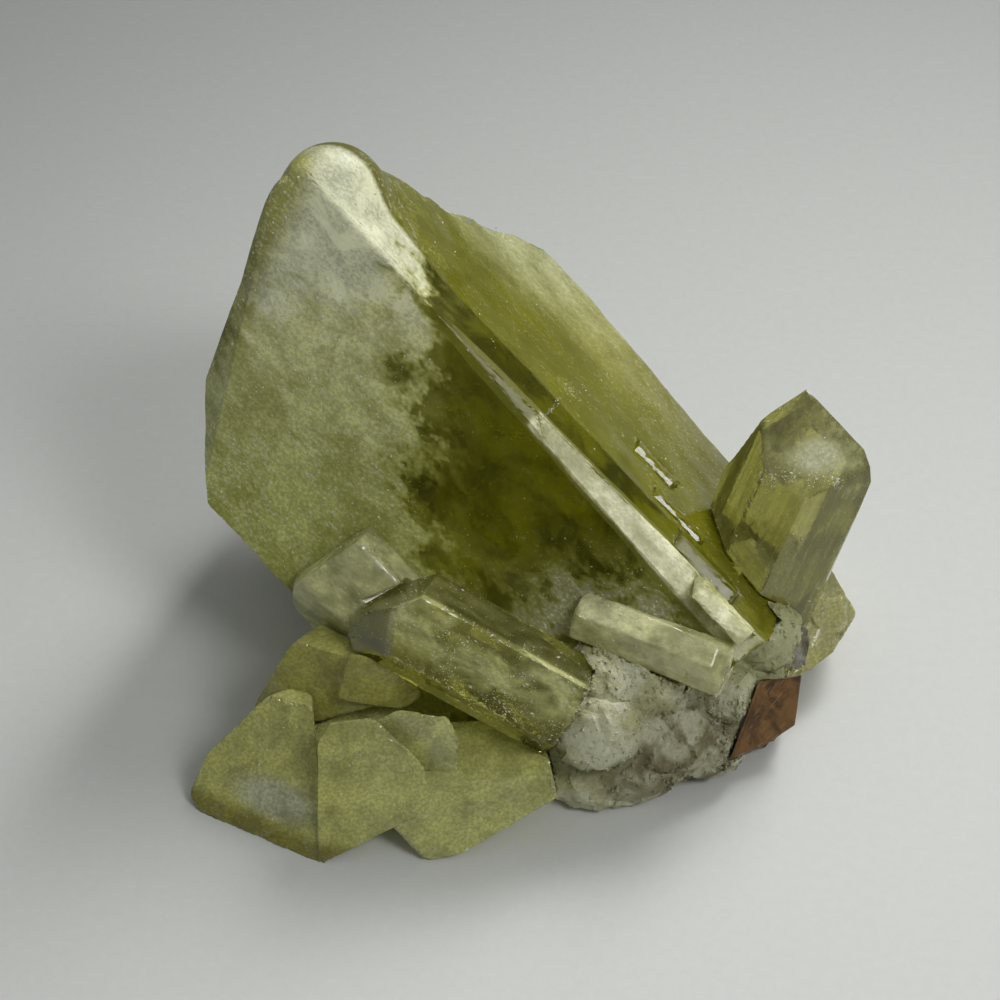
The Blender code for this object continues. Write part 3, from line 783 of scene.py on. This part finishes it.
def upright_patch(finish):
    """1 in the milky patch high inside the front."""
    return finish.near((27.3, -3.0, 26.4), (3.4, 2.5, 1.8), 0.6)


def upright_haze(finish):
    """Streaks of thin cloud along the crystal, and the milky patch."""
    rag = finish.noise(finish.along(upright_way, (0.7, 0.7, 14.0)), 3.0, 0.6)
    lines = finish.ramp(rag, 0.36, 0.64, 0.32, 0.48)
    patch = finish.once(upright_patch)
    return finish.math("MAXIMUM", lines, finish.math("MULTIPLY", patch, 0.75))


def upright_tone(finish):
    """Olive on the left, pale on the right faces and in the patch."""
    patch = finish.once(upright_patch)
    right = finish.ramp(finish.reach((29.0, 0, 0), (1, 0, 0)), -1.5, 1.5)
    tone = finish.blend(right, (0.25, 0.235, 0.05), (0.84, 0.83, 0.42))
    return finish.blend(patch, tone, (0.52, 0.53, 0.36))


upright_way = face_way(45.0, 60.0, 0.0, 90.0)
upright_crystal = worn_copy("standing_crystal", "upright_crystal", 0.4, 0.05, 0.12, 11)
dress(
    upright_crystal,
    crystal_finish(
        "striped_brazilianite", upright_way, upright_haze,
        pale=upright_tone, clear=(0.72, 0.71, 0.26), colour=(0.80, 0.79, 0.28), density=70.0,
        calm=0.5,
    ),
    "clear_crystal", "standing_crystal",
)


def upright_thick(place):
    """Thick along an arc high on the front, thin elsewhere."""
    arc = np.array([
        (22.6, -4.8, 25.0), (24.6, -4.6, 25.1), (27.0, -4.9, 25.0), (28.9, -5.0, 25.4),
    ])
    far = np.linalg.norm(place[:, None] - arc[None], axis=2).min(axis=1)
    return np.clip(1.25 - far / 0.9, 0.004, 1.0)


sparkle("upright_sparks", upright_crystal, 79, 50000, upright_thick, (1.0, 0.0, 0.2))

# The leaning crystal. A glassy prism that grew across the foot of the large one and out of
# the rock, with a smooth top face and streaks of sparks behind its front face.

LEANING_CENTRE = (-4.9, -17.475, 16.1)      # millimetres, on its long axis
LEANING_HEADING = 163.0                     # degrees from the X axis
LEANING_RISE = 25.0                         # degrees
leaning_way = face_way(LEANING_HEADING, LEANING_RISE, 0.0, 90.0)
leaning_front = face_way(LEANING_HEADING, LEANING_RISE, -60.0)
leaning_under = face_way(LEANING_HEADING, LEANING_RISE, -150.0)


def leaning_haze(finish):
    """Cloudy behind the front face, less so towards its lower edge, and clear elsewhere."""
    face = finish.ramp(finish.reach(LEANING_CENTRE, leaning_front), 3.2, 4.3, 0.22, 0.56)
    low = finish.reach(LEANING_CENTRE, leaning_under)
    return finish.math("MULTIPLY", face, finish.ramp(low, 1.0, 4.0, 1.0, 0.6))


def leaning_tone(finish):
    """Pale green on the front, golden olive towards its lower edge."""
    low = finish.reach(LEANING_CENTRE, leaning_under)
    return finish.blend(finish.ramp(low, 0.0, 4.0), (0.66, 0.67, 0.31), (0.30, 0.29, 0.06))


leaning_crystal = worn_copy("lying_crystal", "leaning_crystal", 0.4, 0.05, 0.12, 17)
dress(
    leaning_crystal,
    crystal_finish(
        "streaked_brazilianite", leaning_way, leaning_haze,
        pale=leaning_tone, clear=(0.66, 0.65, 0.18), colour=(0.76, 0.75, 0.20), density=80.0,
        glitter=1.4, calm=0.1, wisps=0.8,
    ),
    "clear_crystal", "lying_crystal",
)


def leaning_thick(place):
    """Thick in swarms on the front face, thin elsewhere."""
    on_front = (place - LEANING_CENTRE) @ leaning_front > 3.7
    return np.where(on_front, np.clip(swell(place, 2.2, 82) + 0.4, 0.05, 1.0), 0.06)


sparkle("leaning_sparks", leaning_crystal, 83, 7000, leaning_thick, leaning_way)

# The sunken crystal. A short glassy prism of the same mineral that points to the right,
# half buried in the matrix under the large crystal, where the rock grew round it.

sunken_way = face_way(335.0, -5.0, 0.0, 90.0)


def patchy_haze(finish):
    """Half cloudy, in broad patches."""
    rag = finish.noise(finish.along((0, 0, 1), (3.4, 3.4, 3.4)), 2.0, 0.55)
    return finish.ramp(rag, 0.36, 0.64, 0.48, 0.66)


sunken_crystal = worn_copy(
    "half_buried_crystal", "sunken_crystal", 0.3, 0.05, 0.12, 23, 1,
    steps=growth_steps(0.05, 2.0, 24),
)
dress(
    sunken_crystal,
    crystal_finish(
        "glimmering_brazilianite", sunken_way, patchy_haze,
        pale=(0.92, 0.92, 0.50), clear=(0.92, 0.92, 0.46), colour=(0.80, 0.79, 0.30),
        density=50.0, calm=0.4, glitter=1.4,
    ),
    "clear_crystal", "half_buried_crystal",
)


def swarms(place):
    """Sparks in a few swarms."""
    return np.clip(1.6 * swell(place, 2.6, 86) - 0.35, 0.01, 1.0)


sparkle("sunken_sparks", sunken_crystal, 87, 1500, swarms, sunken_way)

# The corner block. A small, stout grey-green crystal with a painted white highlight on a
# narrow bevel, grown parallel to the large one at its foot, where the leaning crystal meets it.

CORNER_CENTRE = (-19.0, -9.775, 15.0)       # millimetres, on its long axis


def bevel_painted_highlight(finish):
    """1 on the narrow bevel beside the front face, where a white highlight is painted."""
    narrow = finish.reach(CORNER_CENTRE, face_way(LARGE_HEADING, LARGE_RISE, -20.0))
    front = finish.reach(CORNER_CENTRE, face_way(LARGE_HEADING, LARGE_RISE, -55.0))
    return finish.math("MULTIPLY", finish.ramp(narrow, 6.3, 6.5), finish.ramp(front, 2.2, 2.5))


def corner_haze(finish):
    """Patchy cloud, thick under the bevel's painted highlight."""
    return finish.math("MAXIMUM", patchy_haze(finish), finish.once(bevel_painted_highlight))


def corner_tone(finish):
    """Grey-green, with a painted white highlight on the bevel."""
    # Painted highlight: the bevel is coloured nearly white where it would catch the light.
    return finish.blend(finish.once(bevel_painted_highlight), (0.84, 0.85, 0.40), (0.94, 0.95, 0.78))


corner_block = worn_copy(
    "corner_crystal", "corner_block", 0.3, 0.06, 0.15, 29, 1, steps=growth_steps(0.05, 2.4, 30)
)
dress(
    corner_block,
    crystal_finish(
        "grey_brazilianite", large_way, corner_haze,
        pale=corner_tone, clear=(0.88, 0.88, 0.50), colour=(0.84, 0.84, 0.42), density=45.0,
        calm=0.5,
    ),
    "clear_crystal", "corner_crystal",
)
sparkle("corner_sparks", corner_block, 89, 1200, swarms, large_way)

# The dull wedge. A frosted olive crystal below the corner block, with a pale block of the
# same mineral grown into its side; both are one piece.

wedge_way = face_way(200.0, 20.0, 0.0, 90.0)


def frosted_haze(finish):
    """Nearly opaque frost all over."""
    rag = finish.noise(finish.along((0, 0, 1), (2.5, 2.5, 2.5)), 2.0, 0.6)
    return finish.ramp(rag, 0.35, 0.65, 0.86, 0.97)


dull_wedge = worn_copy(
    "wedge_crystal", "dull_wedge", 0.35, 0.08, 0.2, 31, 1, steps=growth_steps(0.05, 3.0, 32)
)
dress(
    dull_wedge,
    crystal_finish(
        "dull_brazilianite", wedge_way, frosted_haze,
        pale=(0.42, 0.405, 0.10), clear=(0.5, 0.5, 0.2), colour=(0.75, 0.74, 0.3),
        density=160.0, gloss=0.26, glitter=0.1, calm=0.3, wisps=0.15,
    ),
    "frosted_crystal", "wedge_crystal",
)
sparkle("wedge_sparks", dull_wedge, 91, 900, swarms, wedge_way)

# The foot. Five blunt, frosted crystals grown into each other at the lower left, one piece
# broken off flat below, where it rests beside the rock.


def foot_tone(finish):
    """Pale green frost, golden along the lower left edge, whiter in a granular patch there."""
    height = finish.reach((0, 0, 0), (0, 0, 1))
    left = finish.ramp(finish.reach((-16.5, 0, 0), (-1, 0, 0)), -1.5, 1.5)
    tone = finish.blend(left, (0.53, 0.54, 0.19), (0.54, 0.54, 0.17))
    patch = finish.near((-24.5, -26.5, 3.6), (4.5, 3.5, 1.6), 0.5)
    tone = finish.blend(patch, tone, (0.50, 0.51, 0.33))
    golden = finish.math("MULTIPLY", left, finish.ramp(height, 2.6, 1.0))
    return finish.blend(golden, tone, (0.26, 0.24, 0.04))


foot_way = face_way(270.0, 30.0, 0.0, 90.0)
foot_blocks = worn_copy(
    "foot_crystals", "foot_blocks", 0.3, 0.14, 0.3, 37, 1, steps=growth_steps(0.05, 2.6, 38)
)
dress(
    foot_blocks,
    crystal_finish(
        "frosted_brazilianite", foot_way, frosted_haze,
        pale=foot_tone, clear=(0.6, 0.6, 0.25), colour=(0.78, 0.77, 0.3), density=140.0,
        gloss=0.20, glitter=0.12, calm=0.2, wisps=0.2,
    ),
    "frosted_crystal", "foot_crystals",
)
sparkle("foot_sparks", foot_blocks, 93, 4000, swarms, foot_way)

# The side block. A small pale, frosted crystal that grew out of the rock behind the upright
# one, at the far right.

side_block = worn_copy(
    "side_crystal", "side_block", 0.4, 0.15, 0.25, 41, 1, steps=growth_steps(0.10, 2.6, 42)
)
dress(
    side_block,
    crystal_finish(
        "pale_brazilianite", face_way(20.0, 25.0, 0.0, 90.0), frosted_haze,
        pale=(0.34, 0.325, 0.115), clear=(0.7, 0.7, 0.35), colour=(0.8, 0.8, 0.35),
        density=120.0, gloss=0.20, glitter=0.12, calm=0.2, wisps=0.2,
    ),
    "frosted_crystal", "side_crystal",
)

# The mica. A book of thin reddish brown leaves stacked at the right of the rock, pale leaves
# that fray out of the rock below it, and silvery ones beside the crystals. All of it grew
# with the rock, which holds its edges.


def mica_finish(name, light, dark):
    """Pearly leaves, blotched between two tones, with pale scratches and worn edges."""
    finish = Finish(name)
    scale = finish.noise(finish.along((0, 0, 1), (1.6, 1.6, 1.6)), 4.0, 0.65, 0.5)
    scratch = finish.noise(finish.along((0.7, 0.5, 0.5), (0.12, 0.12, 2.2)), 1.0, 0.5)
    tone = finish.blend(finish.ramp(scale, 0.36, 0.64), dark, light)
    worn = finish.step("ShaderNodeAttribute", {"attribute_name": "wear"}).outputs["Fac"]
    scratched = finish.ramp(scratch, 0.66, 0.72, 0.0, 0.5)
    pale = finish.math("MAXIMUM", scratched, finish.math("MULTIPLY", worn, 0.6))
    finish.set(
        Base_Color=finish.blend(pale, tone, (0.42, 0.36, 0.26)),
        Roughness=finish.ramp(scale, 0.3, 0.7, 0.34, 0.16),
        Normal=finish.bump(scale, 0.12, 0.6),
    )
    return finish.material


LEAF_THICKNESS = 0.33                       # millimetres, of a leaf in the book
LEAF_BACK = 0.5                             # millimetres, the most a leaf ends short
book_way = face_way(300.0, 20.0, 37.6, 78.1)


def leaf_steps(points):
    """Each leaf of the book ends at its own chance place, back from the edge of the book."""
    layer = np.floor((points @ book_way) / LEAF_THICKNESS).astype(np.int64)
    back = chance(np.stack([layer, layer, layer], axis=1), 61) & 0xFF
    return -LEAF_BACK * back / 255.0


brown_mica = mica_finish("brown_mica", (0.25, 0.135, 0.055), (0.09, 0.05, 0.02))
brown_book = worn_copy("mica_book", "brown_book", 0.16, 0.05, 0.15, 53, steps=leaf_steps)
dress(brown_book, brown_mica, "mica", "mica_book")


LOOSE_THICKNESS = 0.05                      # millimetres


def wavy_leaves(name, leaves):
    """Thin closed leaves. Each is a grid of u along it from its root, and v across it: the
    outer end and the sides are drawn in by a chance swell, the leaf waves up and down by
    about a tenth of a millimetre, and its lower skin lies its thickness below."""
    points, corners = [], []
    u, v = np.meshgrid(np.linspace(0.0, 1.0, 30), np.linspace(-0.5, 0.5, 22), indexing="ij")
    for number, (root, heading, rise, length, width) in enumerate(leaves):
        along = face_way(heading, rise, 0.0, 90.0)
        upper = face_way(heading, rise, 0.0)
        across = np.cross(along, upper)
        flat = np.stack([u * length, v * width, np.full_like(u, 3.0 * number)], axis=-1)
        flat = flat.reshape(-1, 3)
        ragged = (swell(flat, 0.9, 67) * 0.10 + swell(flat, 2.5, 68) * 0.12).reshape(u.shape)
        reach = u * length * (1.0 + ragged * u - 0.5 * v**2)
        side = v * width * (1.0 + ragged) * (1.0 - 0.25 * u)
        wave = 0.10 * np.sin(5.0 * u + 3.0 * v + number)
        wave = wave + swell(flat, 1.4, 69).reshape(u.shape) * 0.08
        skin = (np.asarray(root) + reach[..., None] * along + side[..., None] * across
                + (wave * np.minimum(3.0 * u, 1.0))[..., None] * upper).reshape(-1, 3)
        skin[:, 2] = np.maximum(skin[:, 2], 0.08)
        index = np.arange(u.size).reshape(u.shape) + 2 * u.size * number
        top = np.stack([index[:-1, :-1], index[1:, :-1], index[1:, 1:], index[:-1, 1:]], axis=-1)
        rim = np.concatenate([index[0, :], index[1:, -1], index[-1, -2::-1], index[-2:0:-1, 0]])
        after = np.roll(rim, -1)
        points += [skin, skin - LOOSE_THICKNESS * upper]
        corners += [top.reshape(-1, 4), top.reshape(-1, 4)[:, ::-1] + u.size,
                    np.stack([rim, rim + u.size, after + u.size, after], axis=-1)[:, ::-1]]
    return put_in(name, np.vstack(points), np.vstack(corners), 40.0)


# Each leaf: its root in millimetres, heading and rise in degrees, length and width.
LEAF_ROOT = (18.6, -17.3, 0.9)
loose_leaves = wavy_leaves("loose_leaves", [
    (LEAF_ROOT, 17.5, 1.0, 5.6, 4.6),
    (LEAF_ROOT, 14.5, 4.0, 6.2, 4.0),
    (LEAF_ROOT, 19.5, 7.0, 6.8, 4.3),
    (LEAF_ROOT, 15.5, 10.0, 6.3, 3.8),
    (LEAF_ROOT, 17.5, 13.0, 6.4, 4.0),
])
pale_mica = mica_finish("pale_mica", (0.45, 0.42, 0.36), (0.16, 0.13, 0.10))
dress(loose_leaves, pale_mica, "mica", "mica_sheets")

silver_leaves = wavy_leaves("silver_leaves", [
    ((25.4, -12.4, 6.6), 75.0, 62.0, 4.6, 2.2),
    ((25.9, -12.2, 6.6), 70.0, 66.0, 4.2, 1.8),
    ((26.4, -12.0, 6.7), 66.0, 70.0, 3.6, 1.6),
    ((20.0, -18.7, 3.6), 118.0, 60.0, 4.2, 2.3),
    ((20.6, -18.5, 3.4), 110.0, 64.0, 3.9, 2.0),
    ((21.1, -18.2, 3.3), 104.0, 69.0, 3.4, 1.7),
])
silver_mica = mica_finish("silver_mica", (0.60, 0.59, 0.50), (0.22, 0.20, 0.15))
dress(silver_leaves, silver_mica, "mica")

# The table, the light and the camera. A sheet of pale paper, a soft light high in front on
# the right and one behind that brightens the paper there, a dim room that is lighter
# overhead, and a long lens that looks down at half a right angle.

FLOOR_WIDTH = 4.0                           # metres
floor_points = np.array([(x, y, 0.0) for y in (-1, 1) for x in (-1, 1)]) * FLOOR_WIDTH / 2 / MM
floor = put_in("paper", floor_points, np.array([(0, 1, 3, 2)]))
paper = Finish("pale_paper")
fibres = paper.noise(paper.along((0, 0, 1), (1.1, 1.1, 1.1)), 2.0, 0.7)
paper.set(
    Base_Color=paper.blend(fibres, (0.66, 0.67, 0.645), (0.72, 0.73, 0.705)),
    Roughness=0.85,
)
floor.data.materials.append(paper.material)

AIM = Vector((-0.003, -0.002475, 0.020))    # metres, in the middle of the cluster
LAMP_WIDTH = 0.22                           # metres


def soft_light(name, direction, distance, power, aim, spread):
    """A square lamp in the given direction and distance from what it is aimed at, in metres,
    with its power in watts and its beam's spread in degrees."""
    data = bpy.data.lights.new(name, "AREA")
    data.shape = "RECTANGLE"
    data.size = data.size_y = LAMP_WIDTH
    data.energy = power
    data.spread = math.radians(spread)
    lamp = bpy.data.objects.new(name, data)
    way = Vector(direction).normalized()
    lamp.location = aim + way * distance
    lamp.rotation_euler = way.to_track_quat("Z", "Y").to_euler()
    bpy.context.scene.collection.objects.link(lamp)


soft_light("key_light", (0.52, -0.40, 0.75), 0.60, 0.066, AIM, 40.0)
paper_behind = Vector((0.036, -0.044, 0.0))
soft_light("back_light", (0.38, 0.62, 0.68), 0.50, 0.118, paper_behind, 35.0)

ROOM_LOW, ROOM_HIGH = 0.008, 0.32           # strength near the horizon and overhead
world = bpy.data.worlds.new("soft_room")
world.use_nodes = True
sky = world.node_tree
room = sky.nodes["Background"]
room.inputs["Color"].default_value = (0.98, 1.0, 0.99, 1.0)
direction = sky.nodes.new("ShaderNodeTexCoord")
parts = sky.nodes.new("ShaderNodeSeparateXYZ")
ceiling = sky.nodes.new("ShaderNodeMapRange")
sky.links.new(direction.outputs["Generated"], parts.inputs[0])
sky.links.new(parts.outputs["Z"], ceiling.inputs[0])
ceiling.inputs["From Min"].default_value = 0.15
ceiling.inputs["From Max"].default_value = 0.85
ceiling.inputs["To Min"].default_value = ROOM_LOW
ceiling.inputs["To Max"].default_value = ROOM_HIGH
sky.links.new(ceiling.outputs[0], room.inputs["Strength"])
bpy.context.scene.world = world
bpy.context.scene.view_settings.view_transform = "Standard"

CAMERA_DISTANCE = 0.230                     # metres
lens = bpy.data.cameras.new("camera")
lens.lens = 85.0
lens.sensor_width = 36.0
lens.clip_start = 0.01
camera = bpy.data.objects.new("camera", lens)
camera.location = AIM + Vector((0.0, -math.sqrt(0.5), math.sqrt(0.5))) * CAMERA_DISTANCE
camera.rotation_euler = Euler((math.radians(45.0), 0.0, 0.0))
bpy.context.scene.collection.objects.link(camera)
bpy.context.scene.camera = camera
